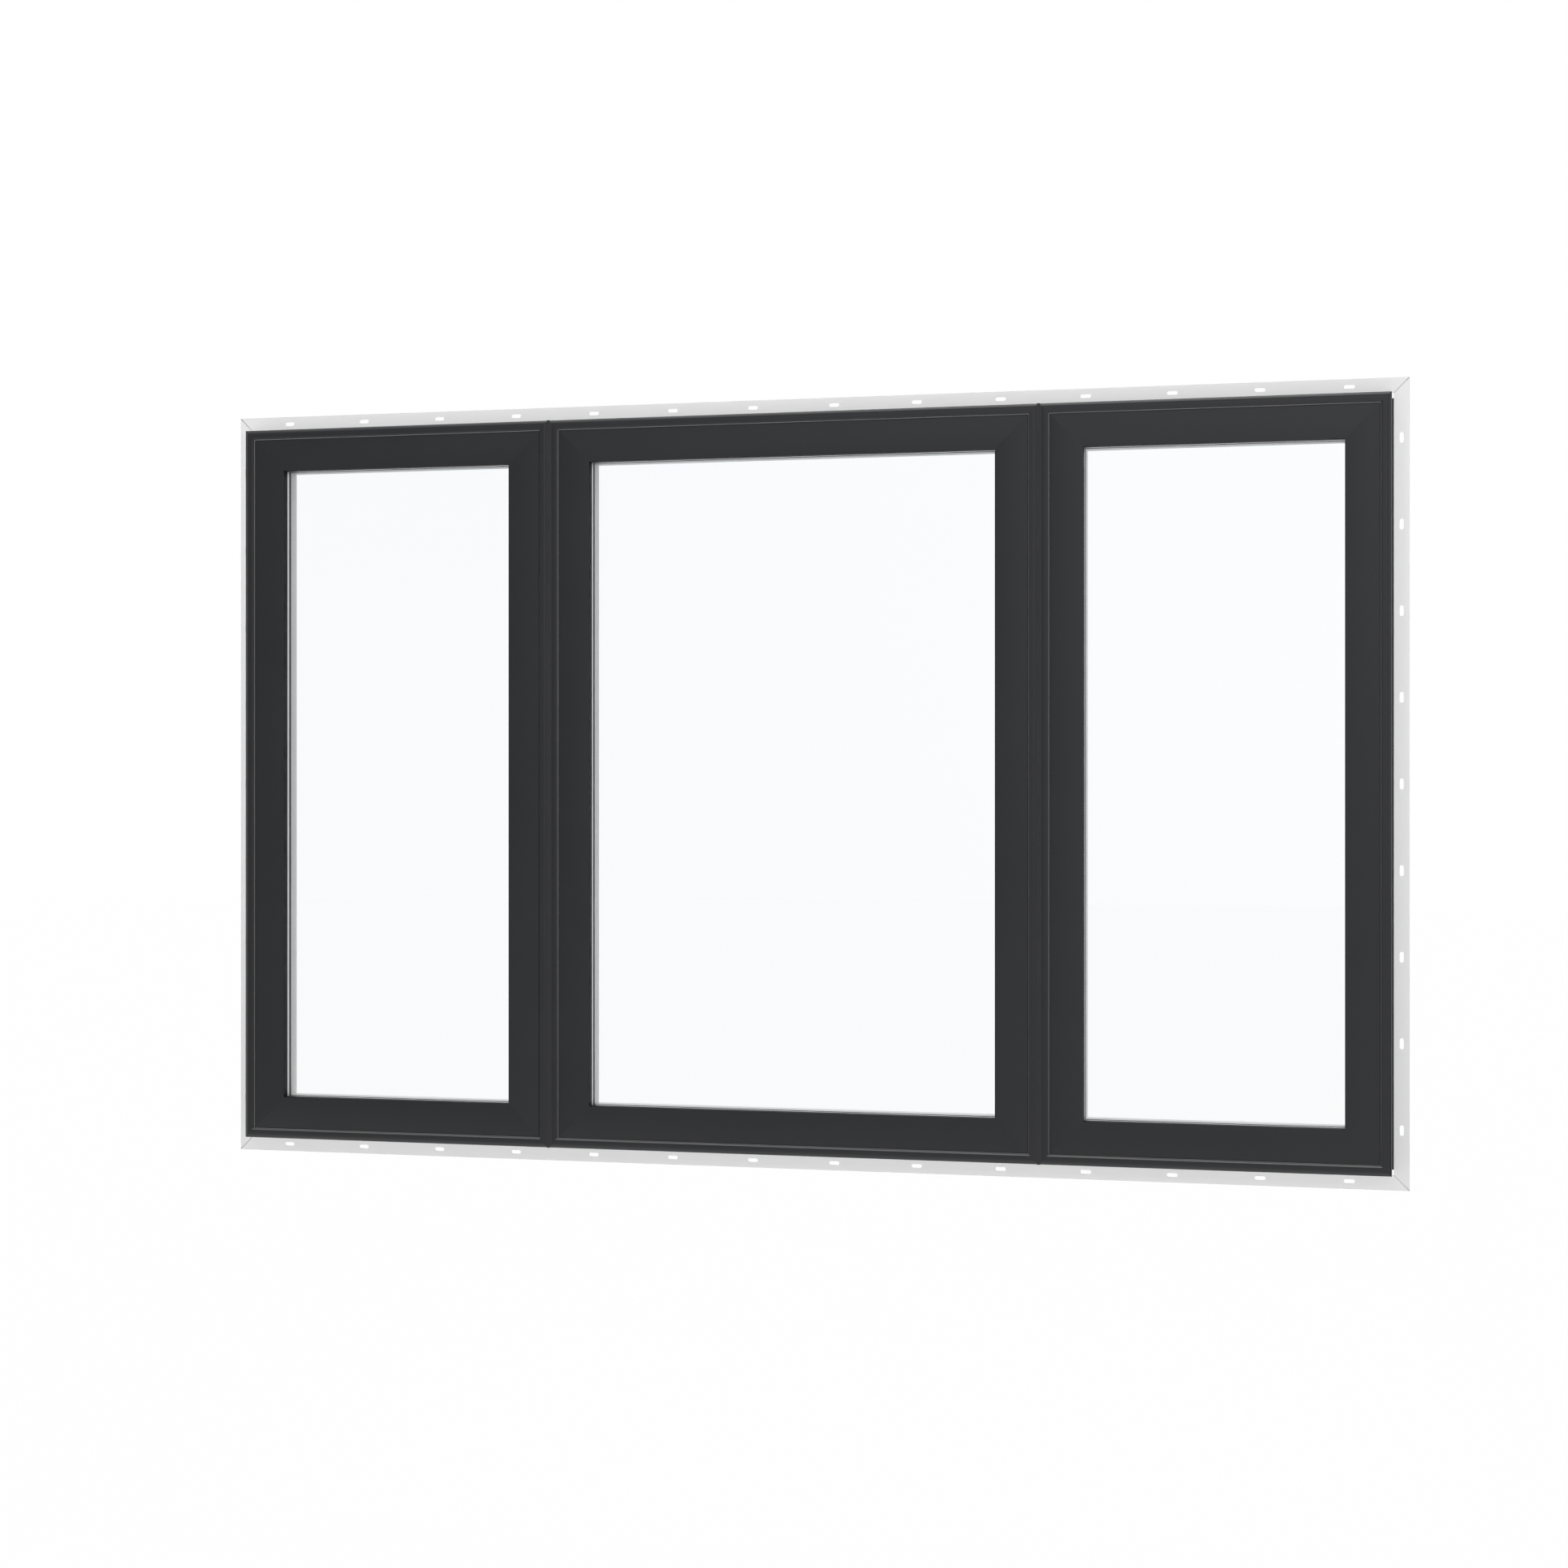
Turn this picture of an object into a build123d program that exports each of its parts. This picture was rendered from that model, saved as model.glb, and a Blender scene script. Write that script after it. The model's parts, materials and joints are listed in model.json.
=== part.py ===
from build123d import *
import os

# Triple casement window: three framed units side by side, each with a glazed sash, and one nailing fin round all.
# Millimetres. +Z is up, +X runs to the right seen from outdoors, and outdoors is towards -Y.
# The origin is at the middle of the sill fin, on the back face that lies on the wall.

# Overall sizes of the three units
FLANK_WIDTH = 609.6
CENTRE_WIDTH = 914.4
UNIT_HEIGHT = 1349.4

# Frame section
FACE_SETBACK = 45.5          # front face of the frame ahead of the fin's front face
FRAME_FACE = 17.2            # front of the frame round each sash
FRAME_BEVEL_WIDTH = 6.0      # bevel along the outer front edge
FRAME_BEVEL_DEPTH = 4.0
FRAME_EDGE_BREAK = 1.8       # small bevel along the inner front edge
FRAME_DEPTH = 116.0
STOP_HEIGHT = 40.0           # how far the room side leg of the frame reaches in
STOP_ROUND = 3.0

# Fin and the rail that holds it
FIN_WIDTH = 26.5             # from the rail to the fin's outer edge
FIN_THICKNESS = 1.6
RAIL_HEIGHT = 3.0
RAIL_FRONT = 7.0             # rail ahead of the fin's front face
RAIL_BACK = 5.0              # rail behind the fin's back face
RAIL_CORNER_SETBACK = 7.5    # rail cut short of the frame's corners
KERF_DEPTH = 2.2
KERF_CLEARANCE = 0.1         # on each flat side of the tongue
TONGUE_DEPTH = 2.0           # part of the fin inside the kerf
TONGUE_THICKNESS = 1.2       # thinner than the fin, flush with its front
SLOT_LENGTH = 19.0
SLOT_WIDTH = 7.0
SLOT_PITCH_ACROSS = 153.0
SLOT_PITCH_UP = 150.0
SLOTS_ACROSS = 14
SLOTS_UP = 9

# Sash section
SASH_GAP = 1.5               # open joint between frame and sash
SASH_RECESS = 4.4            # sash face behind the frame face
SASH_FACE = 60.0
SASH_THICKNESS = 60.0
SASH_BEVEL_WIDTH = 1.3       # bevel along the sash's outer front edge
SASH_BEVEL_DEPTH = 0.9
LIP_DEPTH = 14.0             # lip in front of the glass
LIP_LEAN = 0.4
GLASS_BITE = 14.0            # depth of the glazing pocket behind the lip
SEAL_THICKNESS = 4.0         # weatherstrip between sash and frame stop
SEAL_WIDTH = 6.0
SEAL_INSET = 5.0             # weatherstrip in from the sash's outer edge

# Insulating glass and what holds it
PANE_THICKNESS = 3.0
PANE_GAP = 9.0
PANE_EDGE_CLEARANCE = 3.0
SPACER_WIDTH = 7.0
SPACER_RECESS = 0.2          # spacer hidden behind the lip's edge
TAPE_THICKNESS = 5.0         # thick dark tape between the inner pane and the bead
BEAD_REVEAL = 0.1            # bead stands in from the lip's edge at the glass
BEAD_CHAMFER_WIDTH = 0.5     # front part of the bead, which leans a little more
BEAD_CHAMFER_DEPTH = 7.7
BEAD_LEAN = 0.3
BEAD_ROUND = 1.5
BEAD_MITRE_GAP = 0.3

# Joint strips in the grooves between units
STRIP_HEIGHT = 2.0

# Room side hardware
OPERATOR_LENGTH = 150.0
OPERATOR_WIDTH = 44.0
OPERATOR_HEIGHT = 22.0
OPERATOR_CORNER = 10.0
OPERATOR_TAPER = 8.0
OPERATOR_BEVEL = 3.0
CRANK_LENGTH = 88.0
CRANK_WIDTH = 14.0
CRANK_THICKNESS = 6.0
CRANK_BOSS_RADIUS = 9.0
CRANK_BOSS_HEIGHT = 10.0
KNOB_RADIUS = 7.0
KNOB_HEIGHT = 18.0
KNOB_BEVEL = 2.5
LOCK_PLATE_LENGTH = 90.0
LOCK_PLATE_WIDTH = 24.0
LOCK_PLATE_THICKNESS = 8.0
LOCK_LEVER_LENGTH = 76.0
LOCK_LEVER_WIDTH = 13.0
LOCK_LEVER_THICKNESS = 7.0
LOCK_BEVEL = 2.0
LOCK_HEIGHT = 480.0          # lock's middle above the frame's lower edge

# Places that follow from the sizes
TOTAL_WIDTH = 2 * FLANK_WIDTH + CENTRE_WIDTH
FIN_FRONT_Y = -FIN_THICKNESS
TONGUE_BACK_Y = FIN_FRONT_Y + TONGUE_THICKNESS
FRAME_FRONT_Y = FIN_FRONT_Y - FACE_SETBACK
FRAME_EDGE_Y = FRAME_FRONT_Y + FRAME_BEVEL_DEPTH
FRAME_BACK_Y = FRAME_FRONT_Y + FRAME_DEPTH
SASH_FRONT_Y = FRAME_FRONT_Y + SASH_RECESS
SASH_BACK_Y = SASH_FRONT_Y + SASH_THICKNESS
STOP_Y = SASH_BACK_Y + SEAL_THICKNESS
GLASS_FRONT_Y = SASH_FRONT_Y + LIP_DEPTH
SPACER_FRONT_Y = GLASS_FRONT_Y + PANE_THICKNESS
SPACER_BACK_Y = SPACER_FRONT_Y + PANE_GAP
GLASS_BACK_Y = SPACER_BACK_Y + PANE_THICKNESS
BEAD_FRONT_Y = GLASS_BACK_Y + TAPE_THICKNESS

# Distances in from a unit's outer edge
SASH_INSET = FRAME_FACE + SASH_GAP
LIP_INSET = SASH_INSET + SASH_FACE + LIP_LEAN
POCKET_INSET = LIP_INSET - GLASS_BITE
PANE_INSET = POCKET_INSET + PANE_EDGE_CLEARANCE
SPACER_INSET = LIP_INSET - SPACER_RECESS - SPACER_WIDTH
BEAD_INSET = LIP_INSET + BEAD_REVEAL

# The fin's slots run along its middle, and that line at the sill is z = 0
FIN_OUTER = RAIL_HEIGHT + FIN_WIDTH
FIN_MIDDLE = RAIL_HEIGHT + FIN_WIDTH / 2
FRAME_BOTTOM = FIN_MIDDLE
FRAME_MIDDLE = FRAME_BOTTOM + UNIT_HEIGHT / 2

UNITS = {
    "left": (-(CENTRE_WIDTH + FLANK_WIDTH) / 2, FLANK_WIDTH),
    "centre": (0.0, CENTRE_WIDTH),
    "right": ((CENTRE_WIDTH + FLANK_WIDTH) / 2, FLANK_WIDTH),
}


def section_bar(section, start, end):
    """Straight bar along X with a section given as (depth, inward) points."""
    return extrude(Plane.YZ.offset(start) * Polygon(*section), amount=end - start, dir=(1, 0, 0))


def mitred_bar(section, length, gap=0.0):
    """Bar along X whose ends are mitred at 45 degrees, less an open gap at each end."""
    inward = [point[1] for point in section]
    low = min(inward)
    high = max(inward)
    half = length / 2 - gap
    reach = 2 * max(abs(point[0]) for point in section)
    bar = section_bar(section, low - half, half - low)
    outline = Polygon((low - half, low), (half - low, low), (half - high, high), (high - half, high))
    return bar & extrude(Plane.XZ * outline, amount=reach, both=True)


def side_places(width, height, centre_x, bottom):
    """Where the four sides of a rectangle lie: local X runs along a side and local Z points inward."""
    middle = bottom + height / 2
    return {
        "sill": Pos(centre_x, 0, bottom),
        "head": Pos(centre_x, 0, bottom + height) * Rot(0, 180, 0),
        "left": Pos(centre_x - width / 2, 0, middle) * Rot(0, 90, 0),
        "right": Pos(centre_x + width / 2, 0, middle) * Rot(0, -90, 0),
    }


def side_lengths(width, height):
    return {"sill": width, "head": width, "left": height, "right": height}


def flat_ring(width, height, inset, thickness_in, front, back):
    """Flat rectangular ring, its outer edge a given inset from a unit's edges."""
    outer = Rectangle(width - 2 * inset, height - 2 * inset)
    inner_inset = inset + thickness_in
    inner = Rectangle(width - 2 * inner_inset, height - 2 * inner_inset)
    return Pos(0, front, 0) * extrude(Plane.XZ * (outer - inner), amount=-(back - front))


def frame_section():
    """Frame bar: bevelled front, pocket for the sash and a deep room side leg that stops it."""
    return [
        (FRAME_EDGE_Y, 0),
        (FRAME_FRONT_Y, FRAME_BEVEL_WIDTH),
        (FRAME_FRONT_Y, FRAME_FACE - FRAME_EDGE_BREAK),
        (FRAME_FRONT_Y + FRAME_EDGE_BREAK, FRAME_FACE),
        (STOP_Y, FRAME_FACE),
        (STOP_Y, STOP_HEIGHT),
        (FRAME_BACK_Y - STOP_ROUND, STOP_HEIGHT),
        (FRAME_BACK_Y, STOP_HEIGHT - STOP_ROUND),
        (FRAME_BACK_Y, 0),
    ]


def rail_section():
    """Raised rail outside the frame, with the kerf that takes the fin's tongue."""
    top = -RAIL_HEIGHT
    floor = top + KERF_DEPTH
    kerf_front = FIN_FRONT_Y - KERF_CLEARANCE
    kerf_back = TONGUE_BACK_Y + KERF_CLEARANCE
    return [
        (FIN_FRONT_Y - RAIL_FRONT, 0),
        (FIN_FRONT_Y - RAIL_FRONT, top),
        (kerf_front, top),
        (kerf_front, floor),
        (kerf_back, floor),
        (kerf_back, top),
        (RAIL_BACK, top),
        (RAIL_BACK, 0),
    ]


def sash_section():
    """Sash bar: flat face, deep lip ahead of the glass and an open pocket behind it."""
    lip = SASH_FACE + LIP_LEAN
    pocket = lip - GLASS_BITE
    return [
        (SASH_FRONT_Y + SASH_BEVEL_DEPTH, 0),
        (SASH_FRONT_Y, SASH_BEVEL_WIDTH),
        (SASH_FRONT_Y, SASH_FACE),
        (GLASS_FRONT_Y, lip),
        (GLASS_FRONT_Y, pocket),
        (SASH_BACK_Y, pocket),
        (SASH_BACK_Y, 0),
    ]


def bead_section():
    """Pale bead behind the tape: a front part that leans a little, then a nearly straight side."""
    pocket = SASH_FACE + LIP_LEAN - GLASS_BITE
    edge = SASH_FACE + LIP_LEAN + BEAD_REVEAL
    side = edge + BEAD_CHAMFER_WIDTH
    crest = side + BEAD_LEAN
    return [
        (BEAD_FRONT_Y, pocket),
        (BEAD_FRONT_Y, edge),
        (BEAD_FRONT_Y + BEAD_CHAMFER_DEPTH, side),
        (SASH_BACK_Y - BEAD_ROUND, crest),
        (SASH_BACK_Y, crest - BEAD_ROUND),
        (SASH_BACK_Y, pocket),
    ]


# Which sides of each unit lie on the outside of the whole window, and so carry the rail
OUTER_SIDES = {
    "left": ("sill", "head", "left"),
    "centre": ("sill", "head"),
    "right": ("sill", "head", "right"),
}


def rail_ends(unit, side):
    """Setbacks of the rail at a side's local start and end: only corners of the whole window have one."""
    at_left = RAIL_CORNER_SETBACK if unit == "left" else 0.0
    at_right = RAIL_CORNER_SETBACK if unit == "right" else 0.0
    if side == "sill":
        return at_left, at_right
    if side == "head":
        return at_right, at_left
    return RAIL_CORNER_SETBACK, RAIL_CORNER_SETBACK


def frame_bars(unit):
    centre_x, width = UNITS[unit]
    places = side_places(width, UNIT_HEIGHT, centre_x, FRAME_BOTTOM)
    bars = {}
    for side, length in side_lengths(width, UNIT_HEIGHT).items():
        bar = mitred_bar(frame_section(), length)
        if side in OUTER_SIDES[unit]:
            at_start, at_end = rail_ends(unit, side)
            bar += section_bar(rail_section(), at_start - length / 2, length / 2 - at_end)
        bars[side] = places[side] * bar
    return bars


def inset_bars(unit, section, gap=0.0):
    """Four bars of a section round the sash of a unit."""
    centre_x, width = UNITS[unit]
    sash_width = width - 2 * SASH_INSET
    sash_height = UNIT_HEIGHT - 2 * SASH_INSET
    places = side_places(sash_width, sash_height, centre_x, FRAME_BOTTOM + SASH_INSET)
    lengths = side_lengths(sash_width, sash_height)
    return {side: places[side] * mitred_bar(section, lengths[side], gap) for side in places}


def unit_ring(unit, inset, thickness_in, front, back):
    centre_x, width = UNITS[unit]
    return Pos(centre_x, 0, FRAME_MIDDLE) * flat_ring(width, UNIT_HEIGHT, inset, thickness_in, front, back)


def pane(unit, front):
    centre_x, width = UNITS[unit]
    sheet = Rectangle(width - 2 * PANE_INSET, UNIT_HEIGHT - 2 * PANE_INSET)
    return Pos(centre_x, front, FRAME_MIDDLE) * extrude(Plane.XZ * sheet, amount=-PANE_THICKNESS)


def fin_strip(length, slots, pitch):
    """Fin along X: mitred flat strip with a row of slots, and the tongue that enters the rail."""
    strip = mitred_bar(
        [
            (FIN_FRONT_Y, -FIN_OUTER),
            (FIN_FRONT_Y, -RAIL_HEIGHT),
            (0, -RAIL_HEIGHT),
            (0, -FIN_OUTER),
        ],
        length,
    )
    tongue_half = length / 2 - RAIL_CORNER_SETBACK
    tongue_edge = TONGUE_DEPTH - RAIL_HEIGHT
    strip += section_bar(
        [
            (FIN_FRONT_Y, -RAIL_HEIGHT),
            (FIN_FRONT_Y, tongue_edge),
            (TONGUE_BACK_Y, tongue_edge),
            (TONGUE_BACK_Y, -RAIL_HEIGHT),
        ],
        -tongue_half,
        tongue_half,
    )
    row = Sketch() + GridLocations(pitch, pitch, slots, 1) * SlotOverall(SLOT_LENGTH, SLOT_WIDTH)
    cutters = Plane.XZ * Pos(0, -FIN_MIDDLE) * row
    return strip - extrude(cutters, amount=2 * FIN_THICKNESS, both=True)


def joint_strip(centre_x):
    """Three-sided bead at the bottom of the groove between two units."""
    half_width = FRAME_BEVEL_WIDTH * STRIP_HEIGHT / FRAME_BEVEL_DEPTH
    outline = Polygon(
        (0, FRAME_EDGE_Y),
        (-half_width, FRAME_EDGE_Y - STRIP_HEIGHT),
        (half_width, FRAME_EDGE_Y - STRIP_HEIGHT),
    )
    return Pos(centre_x, 0, FRAME_BOTTOM) * extrude(outline, amount=UNIT_HEIGHT, dir=(0, 0, 1))


def operator_cover():
    base = RectangleRounded(OPERATOR_LENGTH, OPERATOR_WIDTH, OPERATOR_CORNER)
    cover = extrude(base, amount=OPERATOR_HEIGHT, taper=OPERATOR_TAPER)
    return chamfer(cover.faces().sort_by(Axis.Z)[-1].edges(), OPERATOR_BEVEL)


def crank_handle():
    """Folded crank: a boss on the spindle, a flat arm and a turning knob at its end."""
    half = CRANK_LENGTH / 2
    boss = Pos(-half, 0, 0) * extrude(Circle(CRANK_BOSS_RADIUS), amount=CRANK_BOSS_HEIGHT)
    arm_bottom = CRANK_BOSS_HEIGHT - CRANK_THICKNESS
    arm = Pos(0, 0, arm_bottom) * extrude(SlotCenterToCenter(CRANK_LENGTH, CRANK_WIDTH), amount=CRANK_THICKNESS)
    knob = extrude(Circle(KNOB_RADIUS), amount=KNOB_HEIGHT)
    knob = chamfer(knob.faces().sort_by(Axis.Z)[-1].edges(), KNOB_BEVEL)
    return boss + arm + Pos(half, 0, CRANK_BOSS_HEIGHT - CRANK_THICKNESS / 2) * knob


def lock_lever():
    """Lock: an oblong plate with a lever lying along it."""
    plate = extrude(SlotOverall(LOCK_PLATE_LENGTH, LOCK_PLATE_WIDTH), amount=LOCK_PLATE_THICKNESS)
    plate = chamfer(plate.faces().sort_by(Axis.Z)[-1].edges(), LOCK_BEVEL)
    lever = extrude(SlotOverall(LOCK_LEVER_LENGTH, LOCK_LEVER_WIDTH), amount=LOCK_LEVER_THICKNESS)
    lever = chamfer(lever.faces().sort_by(Axis.Z)[-1].edges(), LOCK_BEVEL)
    return plate + Pos(0, 0, LOCK_PLATE_THICKNESS) * lever


def build_nodes():
    nodes = {}
    frame_names = {"sill": "sill", "head": "head", "left": "left_jamb", "right": "right_jamb"}
    sash_names = {"sill": "bottom_rail", "head": "top_rail", "left": "left_stile", "right": "right_stile"}
    seals = []
    tapes = []
    for unit in UNITS:
        for side, bar in frame_bars(unit).items():
            nodes[f"{unit}_frame_{frame_names[side]}"] = bar
        for side, bar in inset_bars(unit, sash_section()).items():
            nodes[f"{unit}_sash_{sash_names[side]}"] = bar
        panes = [pane(unit, GLASS_FRONT_Y), pane(unit, SPACER_BACK_Y)]
        nodes[f"{unit}_glass_panes"] = Compound(children=panes)
        nodes[f"{unit}_glass_spacer"] = unit_ring(unit, SPACER_INSET, SPACER_WIDTH, SPACER_FRONT_Y, SPACER_BACK_Y)
        beads = inset_bars(unit, bead_section(), BEAD_MITRE_GAP)
        nodes[f"{unit}_glazing_bead"] = Compound(children=list(beads.values()))
        tapes.append(unit_ring(unit, PANE_INSET, BEAD_INSET - PANE_INSET, GLASS_BACK_Y, BEAD_FRONT_Y))
        seals.append(unit_ring(unit, SASH_INSET + SEAL_INSET, SEAL_WIDTH, SASH_BACK_Y, STOP_Y))
    nodes["glazing_tapes"] = Compound(children=tapes)
    nodes["weatherstrips"] = Compound(children=seals)

    fin_places = side_places(TOTAL_WIDTH, UNIT_HEIGHT, 0, FRAME_BOTTOM)
    across = fin_strip(TOTAL_WIDTH, SLOTS_ACROSS, SLOT_PITCH_ACROSS)
    upright = fin_strip(UNIT_HEIGHT, SLOTS_UP, SLOT_PITCH_UP)
    for side, place in fin_places.items():
        nodes[f"{side}_nailing_fin"] = place * (across if side in ("sill", "head") else upright)

    joints = [joint_strip(-CENTRE_WIDTH / 2), joint_strip(CENTRE_WIDTH / 2)]
    nodes["unit_joint_strips"] = Compound(children=joints)

    ledge = FRAME_BOTTOM + STOP_HEIGHT
    ledge_y = (STOP_Y + FRAME_BACK_Y) / 2
    locks = []
    for unit, jamb, turn in (("left", "right", -90), ("right", "left", 90)):
        centre_x, width = UNITS[unit]
        nodes[f"{unit}_crank_operator"] = Pos(centre_x, ledge_y, ledge) * operator_cover()
        nodes[f"{unit}_crank_handle"] = Pos(centre_x, ledge_y, ledge + OPERATOR_HEIGHT) * crank_handle()
        outward = 1 if jamb == "right" else -1
        plate_x = centre_x + outward * (width / 2 - STOP_HEIGHT)
        place = Pos(plate_x, ledge_y, FRAME_BOTTOM + LOCK_HEIGHT) * Rot(0, turn, 0)
        locks.append(place * lock_lever())
    nodes["lock_levers"] = Compound(children=locks)
    return nodes


os.makedirs("parts", exist_ok=True)
for name, shape in build_nodes().items():
    export_step(shape, f"parts/{name}.step")
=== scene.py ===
"""Triple casement window: finishes, eased edges, small fittings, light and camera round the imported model.

All lengths are in metres."""

import json
import math

import bmesh
import bpy
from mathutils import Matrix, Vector

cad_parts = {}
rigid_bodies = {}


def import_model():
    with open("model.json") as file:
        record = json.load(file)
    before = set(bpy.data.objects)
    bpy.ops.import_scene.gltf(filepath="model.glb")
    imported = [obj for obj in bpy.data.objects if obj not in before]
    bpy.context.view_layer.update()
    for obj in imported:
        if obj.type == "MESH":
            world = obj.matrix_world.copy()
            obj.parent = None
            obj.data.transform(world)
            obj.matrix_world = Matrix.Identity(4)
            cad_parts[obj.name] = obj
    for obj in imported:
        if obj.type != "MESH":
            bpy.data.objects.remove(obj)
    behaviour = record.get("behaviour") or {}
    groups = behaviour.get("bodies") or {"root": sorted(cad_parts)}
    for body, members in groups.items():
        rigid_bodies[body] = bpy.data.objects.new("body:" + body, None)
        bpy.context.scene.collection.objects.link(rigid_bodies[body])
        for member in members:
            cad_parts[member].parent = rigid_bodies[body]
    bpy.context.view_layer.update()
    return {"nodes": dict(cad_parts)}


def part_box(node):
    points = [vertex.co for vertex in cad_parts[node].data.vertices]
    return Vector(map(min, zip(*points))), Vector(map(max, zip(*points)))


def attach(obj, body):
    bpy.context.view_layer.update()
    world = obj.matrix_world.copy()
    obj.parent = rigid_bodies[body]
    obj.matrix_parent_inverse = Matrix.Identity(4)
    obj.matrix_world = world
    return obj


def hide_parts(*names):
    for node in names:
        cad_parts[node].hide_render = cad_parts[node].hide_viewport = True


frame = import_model()

# Sizes repeated from the part's source, in metres
UNITS = {"left": (-0.762, 0.6096), "centre": (0.0, 0.9144), "right": (0.762, 0.6096)}
UNIT_HEIGHT = 1.3494
WINDOW_WIDTH = 2.1336
UNIT_JOINT_X = 0.4572        # where the units meet
MIDDLE_Z = 0.69095
FRAME_FRONT_Y = -0.0471
FRAME_EDGE_Y = -0.0431
FIN_FRONT_Y = -0.0016        # the charcoal ends here, and the white room side begins
FRAME_FACE = 0.0172          # front of the frame from a unit's edge to the gap beside the sash
FRAME_BREAK = 0.0018         # small bevel on the frame's inner front edge
SILL_TOP_Z = 0.0336
SASH_INNER_INSET = 0.0787    # inner edge of the sash's front from a unit's edge
SEAL_INSET = 0.0267          # middle of the weatherstrip in from a unit's edge
SEAL_FRONT_Y = 0.0173
SEAL_BACK_Y = 0.0213
SPACER_INNER_INSET = 0.0789  # the spacer's face towards the sealed gap
SPACER_MIDDLE_Y = -0.0212
SPACER_DEPTH = 0.009

# Edges that are eased here
WIDE_EASE = 0.0021           # round over the frame's outer front bevel
FINE_EASE = 0.0004           # all other long edges of bars
FIN_EASE = 0.0005            # outer edges of the fin
MITRE_EASE = 0.0008          # corner joints of the fin show as thin lines
FIN_OUTER = 0.0295           # the fin's outer edge from the frame
BEAD_EASE = 0.0004
FITTING_EASE = 0.0011
HANDLE_EASE = 0.0006
KNOB_RISE = 0.015            # the crank's knob above its arm in the part's source
KNOB_FOLDED = 0.0045
SHARP_ANGLE = math.radians(20)

# Where the frame's charcoal ends in the gap beside the sash
PAINT_STOPS_Y = -0.0432

# Small repeated things
BREATHER_PITCH = 0.006
BREATHER_RADIUS = 0.0006
BREATHER_ROWS_APART = 0.0046
BREATHER_RIM = 0.00012
SCREW_RADIUS = 0.0034
SCREW_REACH = 0.0605         # screws from the middle of a crank operator
SEAL_CORNER = 0.012
GAP_SEAL_INSET = 0.01795     # middle of the gap between frame and sash
GAP_SEAL_WIDTH = 0.0014
GAP_SEAL_DEPTH = 0.002
GAP_SEAL_MIDDLE_Y = -0.0404
GAP_SEAL_CORNER = 0.0003

# View and stage
CAMERA_PLACE = (1.1145, -4.6386, MIDDLE_Z)
CAMERA_TURN = math.radians(13.72)
CAMERA_LENS = 59.85
FLOOR_Z = -0.9
FLOOR_HALF = 30.0


class Sock:
    """One output of a node; sums with it add Math nodes."""

    def __init__(self, finish, socket):
        self.finish = finish
        self.socket = socket

    def out(self, name):
        return Sock(self.finish, self.socket.node.outputs[name])

    def maths(self, operation, *values):
        return self.finish.node("ShaderNodeMath", {"operation": operation}, dict(enumerate(values)))

    def __add__(self, other):
        return self.maths("ADD", self, other)

    def __sub__(self, other):
        return self.maths("SUBTRACT", self, other)

    def __rsub__(self, other):
        return self.maths("SUBTRACT", other, self)

    def __mul__(self, other):
        return self.maths("MULTIPLY", self, other)

    def __abs__(self):
        return self.maths("ABSOLUTE", self)

    def larger(self, other):
        return self.maths("MAXIMUM", self, other)

    def smaller(self, other):
        return self.maths("MINIMUM", self, other)

    __radd__ = __add__
    __rmul__ = __mul__


class Finish:
    """A node tree being filled, with one way to add any node."""

    def __init__(self, owner):
        owner.use_nodes = True
        self.owner = owner
        self.tree = owner.node_tree
        self.tree.nodes.clear()

    def node(self, kind, settings=None, inputs=None, output=0):
        made = self.tree.nodes.new(kind)
        for name, value in (settings or {}).items():
            setattr(made, name, value)
        for key, value in (inputs or {}).items():
            if isinstance(value, Sock):
                self.tree.links.new(value.socket, made.inputs[key])
            else:
                made.inputs[key].default_value = value
        return Sock(self, made.outputs[output] if made.outputs else None)

    def place(self):
        return self.node("ShaderNodeTexCoord").out("Object")

    def axes(self, vector):
        parts = self.node("ShaderNodeSeparateXYZ", None, {0: vector})
        return parts.out("X"), parts.out("Y"), parts.out("Z")

    def stretched(self, vector, scale):
        return self.node("ShaderNodeVectorMath", {"operation": "MULTIPLY"}, {0: vector, 1: scale})

    def grain(self, vector, scale, detail=2.0, rough=0.5):
        return self.node("ShaderNodeTexNoise", None,
                         {"Vector": vector, "Scale": scale, "Detail": detail, "Roughness": rough})

    def between(self, value, low, high, to_low=0.0, to_high=1.0):
        return self.node("ShaderNodeMapRange", {"interpolation_type": "SMOOTHSTEP"},
                         {"Value": value, "From Min": low, "From Max": high,
                          "To Min": to_low, "To Max": to_high})

    def mixed(self, factor, first, second):
        return self.node("ShaderNodeMix", {"data_type": "RGBA"}, {0: factor, 6: first, 7: second}, output=2)

    def bump(self, height, strength, depth):
        return self.node("ShaderNodeBump", None, {"Height": height, "Strength": strength, "Distance": depth})

    def surface(self, dull=None, **inputs):
        """A plastic, metal or glass surface, without gloss where dull is 1."""
        named = {key.replace("_", " "): value for key, value in inputs.items()}
        body = self.node("ShaderNodeBsdfPrincipled", None, named)
        if dull is not None:
            matt = self.node("ShaderNodeBsdfDiffuse", None, {"Color": named["Base Color"]})
            body = self.node("ShaderNodeMixShader", None, {0: dull, 1: body, 2: matt})
        self.node("ShaderNodeOutputMaterial", None, {"Surface": body})
        return self.owner


def rgb(red, green, blue):
    return (red, green, blue, 1.0)


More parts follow.
